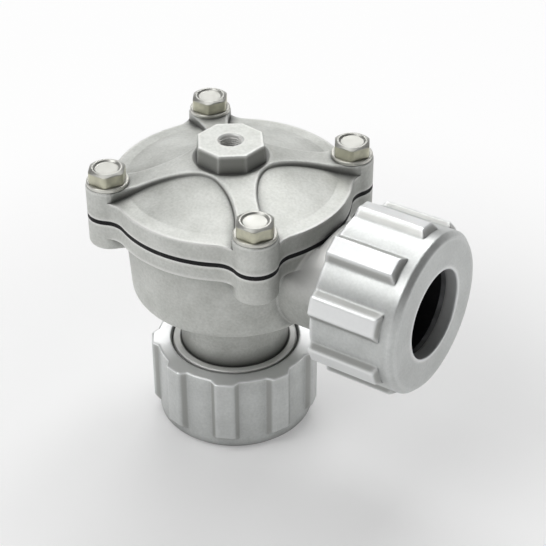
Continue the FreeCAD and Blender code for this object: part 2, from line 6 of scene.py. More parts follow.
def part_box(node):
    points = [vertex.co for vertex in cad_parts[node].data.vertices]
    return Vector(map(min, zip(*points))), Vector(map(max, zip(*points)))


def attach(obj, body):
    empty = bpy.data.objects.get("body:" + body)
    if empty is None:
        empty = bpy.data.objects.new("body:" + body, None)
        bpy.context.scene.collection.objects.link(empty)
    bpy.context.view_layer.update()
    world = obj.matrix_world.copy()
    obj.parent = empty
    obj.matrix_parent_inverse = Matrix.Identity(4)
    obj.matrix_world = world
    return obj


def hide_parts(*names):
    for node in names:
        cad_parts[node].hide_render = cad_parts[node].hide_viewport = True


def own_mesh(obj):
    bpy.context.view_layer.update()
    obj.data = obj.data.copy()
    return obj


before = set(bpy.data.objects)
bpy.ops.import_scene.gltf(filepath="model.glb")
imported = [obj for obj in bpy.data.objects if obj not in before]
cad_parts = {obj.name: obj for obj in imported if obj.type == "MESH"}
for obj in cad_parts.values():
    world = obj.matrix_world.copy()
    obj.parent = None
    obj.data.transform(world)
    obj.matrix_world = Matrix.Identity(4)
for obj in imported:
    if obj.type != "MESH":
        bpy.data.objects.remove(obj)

bl_info = {
    "name": "Pulse Valve Looks",
    "version": (1, 0, 0),
    "blender": (4, 5, 0),
    "location": "View3D > Sidebar > Pulse Valve",
    "description": "Materials, rubber, spring and studio for a right-angle pulse valve",
    "category": "Mesh",
}

MM = 0.001
UP = (0, 0, 1)
FULL_TURN = 2 * math.pi

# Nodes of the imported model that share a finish
PORTS = ["outlet", "inlet"]
BOLTS = ["cover_bolt_%d" % k for k in range(1, 5)]
WASHERS = ["bolt_washer_%d" % k for k in range(1, 5)]
PLATED = ["outlet_slip_washer", "inlet_slip_washer", "backing_plate", "spring_plate", "diaphragm_screw",
          "diaphragm_nut"]
SEALS = ["outlet_seal", "inlet_seal", "seat_disc"]

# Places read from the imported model
COVER_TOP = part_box("cover_casting")[1].z
BOLT_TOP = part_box("cover_bolt_1")[1].z
PLATE_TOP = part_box("spring_plate")[1].z
SPRING_LOW, SPRING_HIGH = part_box("closing_spring")
DIAPHRAGM_LOW, DIAPHRAGM_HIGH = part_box("diaphragm")
INLET_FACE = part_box("inlet_nut")[1].x
PORT_HEIGHT = sum(corner.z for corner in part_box("inlet_seal")) / 2

# Pilot boss on the cover
BOSS_R = 14.2 * MM
BOSS_LOW = COVER_TOP - 7.2 * MM
PILOT_R = 4.3 * MM

# Radii about a port's axis, and depths from the clear face of its nut
BORE_R = 17.25 * MM
NECK_R = 21.3 * MM
THREAD_R = 24.95 * MM
THREAD_CLEARANCE = 0.1 * MM
MOUTH_R = 26 * MM
NUT_R = 31 * MM
NUT_LIP = 5 * MM
NUT_MOUTH = 33.4 * MM
NUT_LENGTH = 34 * MM
SPIGOT_END = 16 * MM
SHOULDER = 32.5 * MM

# Softness of a mask's edges, and a ridge's half width as a share of its thread's pitch
SOFT = 0.3 * MM
RIDGE_SHARE = 0.34

# Each lamp's azimuth and elevation in degrees, and its width in metres
LAMPS = {
    "key": (-24, 58, 0.7),
    "left": (-35, 45, 0.6),
    "back": (-145, 42, 0.5),
    "panel": (-176, 55, 0.35),
    "top": (-135, 75, 0.7),
}
LAMP_DISTANCE = 1.1
MIDDLE = (0.02, 0, 0.07)


def length(name, description, default):
    return bpy.props.FloatProperty(name=name, description=description, default=default, min=0, unit="LENGTH",
                                   precision=5)


def share(name, description, default):
    return bpy.props.FloatProperty(name=name, description=description, default=default, min=0, max=1,
                                   subtype="FACTOR")


def colour(name, description, default):
    return bpy.props.FloatVectorProperty(name=name, description=description, default=default, size=3,
                                         min=0, max=1, subtype="COLOR")


def power(name, description, default):
    return bpy.props.FloatProperty(name=name, description=description, default=default, min=0, unit="POWER")


def angle(name, description, degrees):
    return bpy.props.FloatProperty(name=name, description=description, default=math.radians(degrees),
                                   subtype="ANGLE")


class CastingLooks(bpy.types.PropertyGroup):
    """Blasted die-cast aluminium of the body and the cover."""
    light: colour("Light grey", "Brighter patches of the cast skin", (0.69, 0.7, 0.67))
    dark: colour("Dark grey", "Duller patches of the cast skin", (0.47, 0.48, 0.45))
    # A darker tone on the pilot boss's sides, and painted shade at the foot of the outlet's neck
    flank: colour("Dull parts", "Sides of the pilot boss and foot of the neck", (0.3, 0.305, 0.285))
    metal: share("Metal", "How much of the surface reflects as bare metal", 0.42)
    roughness: share("Roughness", "Roughness of the cast skin", 0.47)
    # Painted shade: how dark creases and wide hollows are painted, and how far it reaches
    crease: share("Crease shade", "Tone left at the bottom of a crease", 0.2)
    reach: length("Crease reach", "How far a crease shades the skin", 4.0 * MM)
    nook: share("Nook shade", "Tone left in a wide hollow", 0.65)
    nook_reach: length("Nook reach", "How far a wide hollow shades the skin", 20.0 * MM)
    # Painted highlights on the edges, and painted light on the outlet's shoulder, the side neck's top and the
    # pilot hole
    highlit: colour("Rubbed edge", "Bright metal on worn edges and machined faces", (0.86, 0.86, 0.84))
    shine: share("Wear", "How much the edges are rubbed bright", 0.9)
    shine_reach: length("Wear reach", "Width of the rubbed edges", 1.6 * MM)
    edge: length("Edge radius", "Rounding of the cast edges", 0.8 * MM)
    grain: length("Grain", "Size of the blasted grain", 0.55 * MM)
    depth: length("Grain depth", "Depth of the blasted grain", 0.03 * MM)


class NutLooks(bpy.types.PropertyGroup):
    """Brighter die-cast aluminium of the compression nuts."""
    light: colour("Light grey", "Brighter patches of the nut's skin", (0.66, 0.675, 0.665))
    dark: colour("Dark grey", "Duller patches of the nut's skin", (0.5, 0.515, 0.505))
    # Painted shade on the sides of the ribs
    flank: colour("Rib flank", "Dull sides of the ribs", (0.42, 0.425, 0.41))
    # Painted highlights on the ribs' crests
    inlet_crest: share("Inlet crests", "How bright the inlet nut's ribs are rubbed", 0.75)
    outlet_crest: share("Outlet crests", "How bright the outlet nut's ribs are rubbed", 0.08)
    metal: share("Metal", "How much of the surface reflects as bare metal", 0.65)
    roughness: share("Roughness", "Roughness of the nut's skin", 0.39)
    # Painted shade: how dark creases and wide hollows are painted, and how far it reaches
    crease: share("Crease shade", "Tone left at the bottom of a crease", 0.15)
    reach: length("Crease reach", "How far a crease shades the skin", 5.0 * MM)
    nook: share("Nook shade", "Tone left in a wide hollow", 0.85)
    nook_reach: length("Nook reach", "How far a wide hollow shades the skin", 20.0 * MM)
    # Painted highlights on the edges, and painted light on the nut's mouth and bore lip
    highlit: colour("Rubbed edge", "Bright metal on worn edges", (0.92, 0.93, 0.93))
    shine: share("Wear", "How much the inlet nut's edges are rubbed bright", 0.9)
    outlet_shine: share("Outlet wear", "How much the outlet nut's edges are rubbed bright", 0.3)
    shine_reach: length("Wear reach", "Width of the rubbed edges", 2.0 * MM)
    edge: length("Edge radius", "Rounding of the nut's edges", 1.2 * MM)
    grain: length("Grain", "Size of the skin's grain", 0.5 * MM)
    depth: length("Grain depth", "Depth of the skin's grain", 0.012 * MM)


class PlatedLooks(bpy.types.PropertyGroup):
    """Yellowish zinc of the cover bolts and the plain zinc of the inner steel pieces."""
    yellow: colour("Yellow zinc", "Passivated zinc on the bolts' sides", (0.62, 0.61, 0.48))
    # Painted tone on the bolts' tops, greyer than their sides, for how the lamps light them
    crown: colour("Crown", "Rubbed zinc on the bolts' tops", (0.46, 0.46, 0.43))
    pale: colour("Pale zinc", "Lighter zinc of the washers", (0.74, 0.735, 0.68))
    plain: colour("Plain zinc", "Zinc of the inner plates and screws", (0.55, 0.56, 0.58))
    wire: colour("Spring wire", "Bright wire of the closing spring", (0.45, 0.46, 0.48))
    metal: share("Metal", "How much of the plating reflects as bare metal", 0.7)
    roughness: share("Roughness", "Roughness of the plating", 0.34)
    edge: length("Edge radius", "Rounding of the bolts' edges", 0.4 * MM)


class SpigotSizes(bpy.types.PropertyGroup):
    """Threads of the spigots, the nuts and the pilot hole, and the rims on the spigots."""
    pitch: length("Pitch", "Pitch of the nuts' threads", 2.0 * MM)
    ridge: length("Spigot ridge", "Height of the spigots' threads", 0.6 * MM)
    nut_ridge: length("Nut ridge", "Height of the nuts' threads, which clear the seals", 0.3 * MM)
    pilot_pitch: length("Pilot pitch", "Pitch of the pilot hole's thread", 0.9 * MM)
    pilot_ridge: length("Pilot ridge", "Height of the pilot hole's thread", 0.35 * MM)
    rim_radius: length("Rim radius", "Outside of the rim on a spigot", 24.6 * MM)
    rim_bore: length("Rim bore", "Inside of the rim, hidden in the neck", 21.0 * MM)
    rim_height: length("Rim height", "How far the rim stands up from the shoulder", 1.6 * MM)
    rim_round: length("Rim rounding", "Rounding of the rim's edges", 0.6 * MM)


class RubberLooks(bpy.types.PropertyGroup):
    """Black rubber of the diaphragm, the seat disc and the pipe seals."""
    black: colour("Black", "Colour of the rubber", (0.006, 0.006, 0.007))
    roughness: share("Roughness", "Roughness of the rubber", 0.62)
    lift: length("Lift", "Travel of the diaphragm group", 7.0 * MM)
    clamp_radius: length("Clamp radius", "Where the castings let go of the diaphragm", 37.4 * MM)
    centre_radius: length("Centre radius", "Part of the diaphragm that its plates hold flat", 22.0 * MM)
    slit: length("Slit", "Play between the roll and the centre", 0.04 * MM)


class SpringSizes(bpy.types.PropertyGroup):
    """Closing spring between the cover and the spring plate."""
    wire_radius: length("Wire radius", "Half the wire's thickness", 0.9 * MM)
    coil_radius: length("Coil radius", "From the axis to the middle of the wire", 11.0 * MM)
    turns: bpy.props.FloatProperty(name="Turns", description="Number of turns", default=4.0, min=1)
    sink: length("Sink", "How far the spring stands below the top of the plate's lip", 1.2 * MM)


class StudioLooks(bpy.types.PropertyGroup):
    """Camera, lamps, floor and backdrop."""
    azimuth: angle("Azimuth", "Camera's turn from the front", 33.5)
    elevation: angle("Elevation", "Camera's height angle", 35.0)
    roll: angle("Roll", "Camera's tilt about its own axis", -0.3)
    distance: length("Distance", "From the camera to its target", 0.6)
    target: bpy.props.FloatVectorProperty(name="Target", description="Point that the camera looks at",
                                          default=(0.01835, 0.0, 0.0706), size=3, subtype="TRANSLATION")
    lens: bpy.props.FloatProperty(name="Lens", description="Focal length for a 36 mm wide sensor",
                                  default=103.65, unit="CAMERA")
    key: power("Key", "Lamp high in front", 2.7)
    left: power("Left", "Lamp at the left front", 2.1)
    back: power("Back", "Lamp behind at the left, which the flat tops mirror", 2.5)
    panel: power("Panel", "Small lamp high behind, which the right panel mirrors", 2.0)
    top: power("Top", "Lamp above the back", 3.2)
    horizon: share("Horizon", "Brightness of the surroundings at the horizon", 1.0)
    far_side: share("Far side", "Brightness of the surroundings at the right, against the left", 0.6)
    room: share("Room", "Brightness of the surroundings above", 0.06)
    paper: share("Paper", "Share of white that the floor keeps near the valve", 0.3)
    far_paper: share("Far paper", "Share of white that the floor keeps away from the valve", 0.9)
    near: length("Near", "How far from the valve the floor begins to whiten", 0.09)
    far: length("Far", "How far from the valve the floor is white", 0.26)


class Wiring:
    """Adds shader nodes to a new material or world, and joins them."""

    def __init__(self, owner, shader="Principled BSDF"):
        owner.use_nodes = True
        self.owner = owner
        self.tree = owner.node_tree
        self.shader = self.tree.nodes[shader]

    def add(self, kind, inputs=None, **settings):
        """Adds a node; each input is a number, a colour or another node's output."""
        node = self.tree.nodes.new("ShaderNode" + kind)
        for name, value in settings.items():
            setattr(node, name, value)
        for key, value in (inputs or {}).items():
            self.put(node.inputs[key], value)
        return node

    def put(self, socket, value):
        """Joins another node's output to a socket, or sets the socket's own value."""
        if isinstance(value, bpy.types.NodeSocket):
            self.tree.links.new(value, socket)
        else:
            socket.default_value = value

    def set(self, **inputs):
        """Sets the shader's sockets, named with underscores for spaces."""
        for name, value in inputs.items():
            self.put(self.shader.inputs[name.replace("_", " ")], value)

    def point(self):
        """The point's place on the piece, in metres."""
        return self.add("TexCoord").outputs["Object"]

    def height(self, where):
        """How high a point is above the floor."""
        return self.add("SeparateXYZ", {0: where}).outputs["Z"]

    def noise(self, where, size, detail=2.0):
        """Noise whose lumps are about the given size."""
        return self.add("TexNoise", {"Vector": where, "Scale": 1 / size, "Detail": detail}).outputs["Fac"]

    def mix(self, factor, low, high):
        """The low colour where the factor is 0, and the high one where it is 1."""
        return self.add("Mix", {"Factor": factor, "A": low, "B": high}, data_type="RGBA").outputs["Result"]

    def spread(self, value, low, high, to_low, to_high, curve="LINEAR"):
        """Carries the range from low to high over to another range, and stops at its ends."""
        node = self.add("MapRange", {"Value": value, "From Min": low, "From Max": high, "To Min": to_low,
                                     "To Max": to_high}, interpolation_type=curve)
        return node.outputs["Result"]

    def combine(self, operation, first, second):
        """The sum, product or larger one of two numbers."""
        return self.add("Math", {0: first, 1: second}, operation=operation).outputs[0]

    def band(self, value, low, high, soft=SOFT):
        """1 between low and high, falling to 0 over the soft width beside them."""
        rise = self.spread(value, low - soft, low, 0, 1)
        fall = self.spread(value, high, high + soft, 1, 0)
        return self.combine("MULTIPLY", rise, fall)

    def rounded(self, radius):
        """The surface's direction, rounded over its edges."""
        return self.add("Bevel", {"Radius": radius}, samples=6).outputs["Normal"]

    def bump(self, height, distance, strength, normal=None):
        """The surface's direction with a relief added."""
        inputs = {"Height": height, "Distance": distance, "Strength": strength}
        if normal:
            inputs["Normal"] = normal
        return self.add("Bump", inputs).outputs["Normal"]

    def shaded(self, skin, crease, reach):
        """Darkens a colour where the surface is hemmed in: painted shade in creases and hollows."""
        room = self.add("AmbientOcclusion", {"Distance": reach}, samples=8).outputs["AO"]
        shade = self.spread(room, 0.45, 0.96, crease, 1)
        return self.add("Mix", {"Factor": 1.0, "A": skin, "B": shade}, data_type="RGBA",
                        blend_type="MULTIPLY").outputs["Result"]

    def highlit_edges(self, skin, bright, shine, reach):
        """Paints a highlight along the outer edges, found where the metal is thin behind the surface."""
        behind = self.add("AmbientOcclusion", {"Distance": reach}, samples=8, inside=True, only_local=True)
        edge = self.spread(behind.outputs["AO"], 0.97, 0.6, 0, shine)
        return self.mix(edge, skin, bright)


def opaque(rgb):
    return (rgb[0], rgb[1], rgb[2], 1.0)


def along_port(wiring, where, port):
    """Distance from a port's axis, and depth from the clear face of its nut."""
    if port == "inlet":
        face = (INLET_FACE, 0, PORT_HEIGHT)
        where = wiring.add("VectorMath", {0: face, 1: where}, operation="SUBTRACT").outputs["Vector"]
    across = (0, 1, 1) if port == "inlet" else (1, 1, 0)
    flat = wiring.add("VectorMath", {0: where, 1: across}, operation="MULTIPLY").outputs["Vector"]
    away = wiring.add("VectorMath", {0: flat}, operation="LENGTH").outputs["Value"]
    depth = wiring.add("SeparateXYZ", {0: where}).outputs["X" if port == "inlet" else "Z"]
    return away, depth


def ring_at(wiring, where, inner, outer, low, high, port="outlet"):
    """1 inside a ring about a port's axis, between two depths from its nut's face."""
    away, depth = along_port(wiring, where, port)
    return wiring.combine("MULTIPLY", wiring.band(away, inner, outer), wiring.band(depth, low, high))


def boss_flank(wiring, where):
    """1 on the sides of the pilot boss, below its top face."""
    return ring_at(wiring, where, 6 * MM, BOSS_R, BOSS_LOW, COVER_TOP - 0.5 * MM)


def pilot_hole(wiring, where):
    """1 inside the pilot boss's hole, which painted light brightens."""
    return ring_at(wiring, where, -MM, PILOT_R + SOFT, BOSS_LOW, COVER_TOP - 0.4 * MM)


def outlet_shoulder(wiring, where):
    """1 on the machine-finished end of the outlet's spigot, at the nut's mouth, also kept bright there by
    painted light against its shade.
    """
    return ring_at(wiring, where, NECK_R + 0.9 * MM, MOUTH_R, SPIGOT_END - 6 * MM, NUT_LENGTH + 2 * MM)


def lit_shoulder_and_neck(wiring, where):
    """1 on the outlet's shoulder, and nearly so on top of the side neck, where painted light brightens what
    the cover shades.
    """
    away, depth = along_port(wiring, where, "inlet")
    neck = wiring.spread(away, NECK_R + 1.7 * MM, NECK_R + 2.7 * MM, 0.8, 0)
    upper = wiring.spread(wiring.height(where), PORT_HEIGHT, PORT_HEIGHT + 10 * MM, 0, 1)
    neck = wiring.combine("MULTIPLY", neck, upper)
    neck = wiring.combine("MULTIPLY", neck, wiring.band(depth, 33 * MM, 48 * MM, 6 * MM))
    return wiring.combine("MAXIMUM", outlet_shoulder(wiring, where), neck)


def neck_foot(wiring, where):
    """1 at the foot of the outlet's neck, fading up it, where painted shade darkens the neck under the bowl.
    """
    away, depth = along_port(wiring, where, "outlet")
    up = wiring.spread(depth, SHOULDER + MM, SHOULDER + 9 * MM, 1, 0)
    return wiring.combine("MULTIPLY", up, wiring.band(away, 18 * MM, NECK_R + 1.1 * MM))


def rib_flanks(port):
    """A mask that is 1 on the sides and ends of a nut's ribs, where painted shade darkens them."""
    def mask(wiring, where):
        away, depth = along_port(wiring, where, port)
        return wiring.band(away, NUT_R + 0.5 * MM, NUT_R + 1.4 * MM, 0.5 * MM)
    return mask


def bright_parts(port, highlit):
    """A mask of painted light that is 1 on a nut's mouth and bore lip, where they lie in shade, and less on
    its ribs' crests, a painted highlight.
    """
    def mask(wiring, where):
        away, depth = along_port(wiring, where, port)
        crest = wiring.spread(away, NUT_R + 1.8 * MM, NUT_R + 2.3 * MM, 0, highlit)
        mouth = ring_at(wiring, where, MOUTH_R, NUT_R + 3 * MM, NUT_LENGTH - 0.4 * MM, NUT_LENGTH + MM, port)
        lip = ring_at(wiring, where, BORE_R - 1.25 * MM, BORE_R + 0.35 * MM, 0.3 * MM, NUT_LIP, port)
        return wiring.combine("MAXIMUM", crest, wiring.combine("MAXIMUM", mouth, lip))
    return mask


def cast_metal(name, looks, machined_and_lit=None, dark_tone_and_shade=None, shine=None):
    """Cast aluminium: an even blasted skin with faint blotches and rounded edges, painted shade in its
    creases and hollows, painted highlights on its edges, and painted light and shade on the masked parts.
    """
    wiring = Wiring(bpy.data.materials.new(name))
    where = wiring.point()
    blotch = wiring.noise(where, 12 * MM, 3.0)
    speckle = wiring.noise(where, 1.0 * MM, 3.0)
    tone = wiring.combine("ADD", wiring.spread(blotch, 0.3, 0.7, 0.15, 0.85),
                          wiring.spread(speckle, 0.3, 0.7, -0.22, 0.22))
    skin = wiring.mix(tone, opaque(looks.dark), opaque(looks.light))
    # A darker tone, and painted shade, on the masked parts
    if dark_tone_and_shade:
        skin = wiring.mix(dark_tone_and_shade(wiring, where), skin, opaque(looks.flank))
    lumps = wiring.bump(wiring.noise(where, 4 * MM), 0.08 * MM, 0.6, wiring.rounded(looks.edge))
    normal = wiring.bump(wiring.noise(where, looks.grain, 3.0), looks.depth, 0.8, lumps)
    # Painted highlights along the outer edges, in the bright colour
    bright = opaque(looks.highlit)
    skin = wiring.highlit_edges(skin, bright, looks.shine if shine is None else shine, looks.shine_reach)
    # Painted shade in wide hollows and in creases
    skin = wiring.shaded(skin, looks.nook, looks.nook_reach)
    skin = wiring.shaded(skin, looks.crease, looks.reach)
    # Painted light on the masked parts, laid over the painted shade
    if machined_and_lit:
        skin = wiring.mix(machined_and_lit(wiring, where), skin, bright)
    wiring.set(Base_Color=skin, Metallic=looks.metal, Normal=normal,
               Roughness=wiring.spread(blotch, 0.3, 0.7, looks.roughness - 0.05, looks.roughness + 0.07))
    return wiring.owner


def plated_steel(name, tint, looks, crown=None):
    """Zinc plating with painted shade in its creases, and a greyer crown painted on the bolts' tops for how
    the lamps light them.
    """
    wiring = Wiring(bpy.data.materials.new(name))
    where = wiring.point()
    cloud = wiring.noise(where, 4 * MM, 3.0)
    darker = tuple(0.75 * c for c in tint)
    skin = wiring.mix(wiring.spread(cloud, 0.35, 0.65, 0, 1), opaque(darker), opaque(tint))
    # Painted tone on the bolts' tops
    if crown:
        top = wiring.spread(wiring.height(where), BOLT_TOP - 1.2 * MM, BOLT_TOP - 0.7 * MM, 0, 1)
        skin = wiring.mix(top, skin, opaque(crown))
    normal = wiring.bump(wiring.noise(where, 0.5 * MM), 0.01 * MM, 0.5, wiring.rounded(looks.edge))
    # Painted shade in the creases
    wiring.set(Base_Color=wiring.shaded(skin, 0.45, 2 * MM), Metallic=looks.metal, Normal=normal,
               Roughness=wiring.spread(cloud, 0.3, 0.7, looks.roughness - 0.05, looks.roughness + 0.12))
    return wiring.owner


def rubber(name, looks):
    """Matt black rubber with a fine moulded grain."""
    wiring = Wiring(bpy.data.materials.new(name))
    where = wiring.point()
    grain = wiring.noise(where, 0.6 * MM)
    lighter = tuple(c + 0.008 for c in looks.black)
    skin = wiring.mix(wiring.noise(where, 6 * MM, 3.0), opaque(looks.black), opaque(lighter))
    wiring.set(Base_Color=skin, Normal=wiring.bump(grain, 0.03 * MM, 0.6), Specular_IOR_Level=0.2,
               Roughness=wiring.spread(grain, 0.3, 0.7, looks.roughness - 0.08, looks.roughness + 0.08))
    return wiring.owner


def dress(names, material):
    """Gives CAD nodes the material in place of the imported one."""
    for name in names:
        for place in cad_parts[name].material_slots:
            place.material = material


def select_only(piece):
    bpy.ops.object.select_all(action="DESELECT")
    piece.select_set(True)
    bpy.context.view_layer.objects.active = piece


def named(name):
    """Names the piece that was just added."""
    piece = bpy.context.object
    piece.name = name
    piece.data.name = name
    return piece


def apply_modifiers(piece):
    select_only(piece)
    for modifier in list(piece.modifiers):
        bpy.ops.object.modifier_apply(modifier=modifier.name)


def copy_of_node(node, name):
    """A merged copy of a CAD node's mesh, as the start of a new piece."""
    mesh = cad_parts[node].data.copy()
    piece = bpy.data.objects.new(name, mesh)
    bpy.context.scene.collection.objects.link(piece)
    mesh.name = name
    mesh.materials.clear()
    select_only(piece)
    bpy.ops.object.mode_set(mode="EDIT")
    bpy.ops.mesh.select_all(action="SELECT")
    bpy.ops.mesh.remove_doubles(threshold=0.001 * MM)
    bpy.ops.object.mode_set(mode="OBJECT")
    return piece


def drum(radius, low, high):
    """A round block about the valve's axis, between two heights."""
    bpy.ops.object.select_all(action="DESELECT")
    bpy.ops.mesh.primitive_cylinder_add(vertices=128, radius=radius, depth=high - low,
                                        location=(0, 0, (low + high) / 2))
    block = bpy.context.object
    bpy.ops.object.transform_apply(location=True, rotation=True, scale=True)
    return block


def cut(piece, cutter, operation):
    """Takes the cutter from the piece, or keeps only what is inside it, and removes the cutter."""
    modifier = piece.modifiers.new("cut", "BOOLEAN")
    modifier.operation = operation
    modifier.solver = "EXACT"
    modifier.object = cutter
    apply_modifiers(piece)
    bpy.data.objects.remove(cutter)


def coil_section(name, sides, radius, place=(0, 0, 0)):
    """The outline of a coil's section, standing in the plane through the axis."""
    bpy.ops.object.select_all(action="DESELECT")
    bpy.ops.mesh.primitive_circle_add(vertices=sides, radius=radius, location=place,
                                      rotation=(math.pi / 2, 0, 0))
    section = named(name)
    bpy.ops.object.transform_apply(location=True, rotation=True, scale=True)
    return section


def wind(section, turns, rise, steps):
    """Winds a section about +Z with so many steps in a turn, and closes the coil's ends."""
    sides = len(section.data.vertices)
    coil = section.modifiers.new("coil", "SCREW")
    coil.axis = "Z"
    coil.angle = FULL_TURN * turns
    coil.screw_offset = rise
    coil.steps = int(steps * round(turns, 3))
    coil.render_steps = coil.steps
    apply_modifiers(section)
    bpy.ops.object.mode_set(mode="EDIT")
    bpy.ops.mesh.select_all(action="SELECT")
    bpy.ops.mesh.fill_holes(sides=sides)
    bpy.ops.mesh.select_all(action="SELECT")
    bpy.ops.mesh.normals_make_consistent(inside=False)
    bpy.ops.object.mode_set(mode="OBJECT")


def thread(name, radius, depth, pitch, low, high):
    """A right-handed helical ridge about +Z, half of it sunk into the wall that carries it."""
    ridge = coil_section(name, 6, 1)
    bpy.ops.transform.resize(value=(depth / math.cos(math.pi / 6), 1, RIDGE_SHARE * pitch))
    bpy.ops.transform.translate(value=(radius, 0, low + pitch / 2))
    bpy.ops.object.transform_apply(location=True, rotation=True, scale=True)
    turns = (high - low) / pitch - 1
    wind(ridge, turns, turns * pitch, 48)
    return ridge


def shoulder_rim(name, sizes):
    """The raised, rounded ring on the end of a spigot, level with the mouth of its nut."""
    drum(sizes.rim_radius, SHOULDER - 0.4 * MM, SHOULDER + sizes.rim_height)
    rim = named(name)
    cut(rim, drum(sizes.rim_bore, SHOULDER - MM, SHOULDER + 2 * sizes.rim_height), "DIFFERENCE")
    rounding = rim.modifiers.new("rounding", "BEVEL")
    rounding.width = sizes.rim_round
    rounding.segments = 3
    rounding.limit_method = "ANGLE"
    apply_modifiers(rim)
    return rim


def set_at(port, piece):
    """Leaves a piece made about the outlet's axis there, or turns it to the inlet's and applies its place."""
    if port == "inlet":
        select_only(piece)
        piece.rotation_euler = (0, -math.pi / 2, 0)
        piece.location = (INLET_FACE, 0, PORT_HEIGHT)
        bpy.ops.object.transform_apply(location=True, rotation=True, scale=True)


def finish(piece, material, body):
    """Gives a new piece its material in one slot, smooth shading and its body."""
    piece.data.materials.clear()
    piece.data.materials.append(material)
    select_only(piece)
    bpy.ops.object.shade_smooth_by_angle(angle=math.radians(35))
    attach(piece, body)


class VALVE_OT_castings(bpy.types.Operator):
    """Dress the body and cover as blasted cast aluminium"""
    bl_idname = "valve.castings"
    bl_label = "Castings"

    def execute(self, context):
        looks = context.scene.valve_castings
        # Painted light on the body's shoulder and side neck, painted shade at the foot of its neck
        dress(["body_casting"], cast_metal("blasted_cast_aluminium", looks, lit_shoulder_and_neck, neck_foot))
        # Painted light in the pilot hole, and a darker tone on the boss's sides
        dress(["cover_casting"], cast_metal("blasted_cover_aluminium", looks, pilot_hole, boss_flank))
        return {"FINISHED"}


class VALVE_OT_nuts(bpy.types.Operator):
    """Dress the two compression nuts as brighter cast aluminium"""
    bl_idname = "valve.nuts"
    bl_label = "Compression nuts"

    def execute(self, context):
        looks = context.scene.valve_nuts
        # Painted highlights on each nut's rib crests and edges
        crest = {"outlet": looks.outlet_crest, "inlet": looks.inlet_crest}
        shine = {"outlet": looks.outlet_shine, "inlet": looks.shine}
        for port in PORTS:
            bright = bright_parts(port, crest[port])
            material = cast_metal(port + "_nut_aluminium", looks, bright, rib_flanks(port), shine[port])
            dress([port + "_nut"], material)
        return {"FINISHED"}


class VALVE_OT_fasteners(bpy.types.Operator):
    """Dress the bolts, washers and inner steel pieces as plated steel"""
    bl_idname = "valve.fasteners"
    bl_label = "Fasteners and plates"

    def execute(self, context):
        looks = context.scene.valve_plated
        dress(BOLTS, plated_steel("yellow_zinc", looks.yellow, looks, looks.crown))
        dress(WASHERS, plated_steel("pale_zinc", looks.pale, looks))
        dress(PLATED, plated_steel("plain_zinc", looks.plain, looks))
        return {"FINISHED"}


class VALVE_OT_rims(bpy.types.Operator):
    """Add the rounded rims on the ends of the spigots"""
    bl_idname = "valve.rims"
    bl_label = "Spigot rims"

    def execute(self, context):
        metal = cast_metal("shoulder_aluminium", context.scene.valve_castings, outlet_shoulder)
        for port in PORTS:
            rim = shoulder_rim(port + "_shoulder_rim", context.scene.valve_spigots)
            set_at(port, rim)
            finish(rim, metal, "root")
        return {"FINISHED"}


class VALVE_OT_threads(bpy.types.Operator):
    """Wind the threads of the spigots, the nuts and the pilot hole"""
    bl_idname = "valve.threads"
    bl_label = "Threads"

    def execute(self, context):
        castings = context.scene.valve_castings
        sizes = context.scene.valve_spigots
        cast = cast_metal("thread_aluminium", castings)
        bright = cast_metal("nut_thread_aluminium", context.scene.valve_nuts)
        for port in PORTS:
            outside = thread(port + "_spigot_thread", THREAD_R, sizes.ridge, sizes.pitch,
                             SPIGOT_END, SHOULDER)
            inside = thread(port + "_nut_thread", THREAD_R + THREAD_CLEARANCE, sizes.nut_ridge, sizes.pitch,
                            SPIGOT_END + MM, NUT_MOUTH)
            set_at(port, outside)
            set_at(port, inside)
            finish(outside, cast, "root")
            finish(inside, bright, port + "_nut_group")
        pilot = thread("pilot_thread", PILOT_R, sizes.pilot_ridge, sizes.pilot_pitch, COVER_TOP - 9 * MM,
                       COVER_TOP - 0.7 * MM)
        # Painted light in the deep pilot hole
        finish(pilot, cast_metal("pilot_aluminium", castings, pilot_hole), "root")
        return {"FINISHED"}


class VALVE_OT_rubber(bpy.types.Operator):
    """Model the diaphragm in rim, roll and centre, and dress the seals"""
    bl_idname = "valve.rubber"
    bl_label = "Diaphragm and seals"

    def execute(self, context):
        looks = context.scene.valve_rubber
        material = rubber("black_rubber", looks)
        dress(SEALS, material)
        low = DIAPHRAGM_LOW.z - MM
        high = DIAPHRAGM_HIGH.z + MM
        rim = copy_of_node("diaphragm", "diaphragm_rim")
        cut(rim, drum(looks.clamp_radius, low, high), "DIFFERENCE")
        finish(rim, material, "root")
        roll = copy_of_node("diaphragm", "diaphragm_roll")
        cut(roll, drum(looks.clamp_radius, low, high), "INTERSECT")
        cut(roll, drum(looks.centre_radius + looks.slit, low, high), "DIFFERENCE")
        finish(roll, material, "root")
        centre = copy_of_node("diaphragm", "diaphragm_centre")
        cut(centre, drum(looks.centre_radius, low, high), "INTERSECT")
        finish(centre, material, "poppet")
        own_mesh(roll)
        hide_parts("diaphragm")
        return {"FINISHED"}


class VALVE_OT_spring(bpy.types.Operator):
    """Wind the closing spring at rest"""
    bl_idname = "valve.spring"
    bl_label = "Closing spring"

    def execute(self, context):
        looks = context.scene.valve_plated
        sizes = context.scene.valve_spring
        low = PLATE_TOP - sizes.sink + sizes.wire_radius
        high = SPRING_HIGH.z - sizes.wire_radius
        spring = coil_section("closing_spring_coil", 12, sizes.wire_radius, (sizes.coil_radius, 0, low))
        wind(spring, sizes.turns, high - low, 32)
        finish(spring, plated_steel("spring_wire", looks.wire, looks), "root")
        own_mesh(spring)
        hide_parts("closing_spring")
        return {"FINISHED"}


